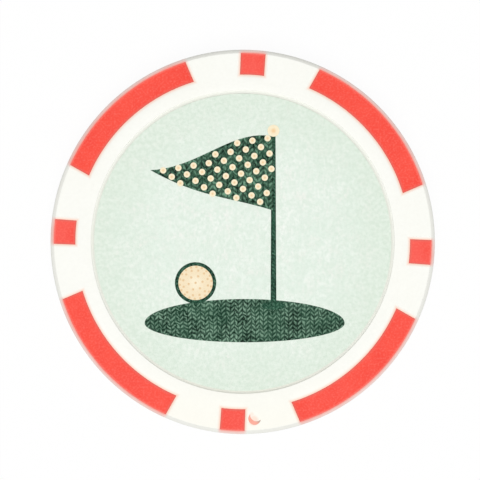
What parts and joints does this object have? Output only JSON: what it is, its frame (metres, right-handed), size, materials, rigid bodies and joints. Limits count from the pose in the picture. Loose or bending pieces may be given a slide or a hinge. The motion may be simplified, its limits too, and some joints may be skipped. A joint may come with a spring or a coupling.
{
  "type": "ball marker",
  "caption": "Flat round golf ball marker like a moulded chip: white rim with red edge spots, shallow label recess on both faces, steel slug inside.",
  "frame": {"origin": "centre of the back rim face, which is the plane the chip lies on", "axes": "+Z out of the front (printed) face, +Y towards the top of the print, +X to its right"},
  "size_m": [0.04, 0.04, 0.0034],
  "materials": {
    "steel": "satin",
    "red_plastic": "satin",
    "white_plastic": "satin",
    "adhesive": "satin",
    "label_paper": "matte",
    "clear_film": "satin"
  },
  "bodies": {
    "root": {"steel_slug": "steel", "colour_wheel": "red_plastic", "white_body": "white_plastic", "front_adhesive": "adhesive", "front_label": "label_paper", "front_laminate": "clear_film", "back_adhesive": "adhesive", "back_label": "label_paper", "back_laminate": "clear_film"}
  },
  "joints": []
}
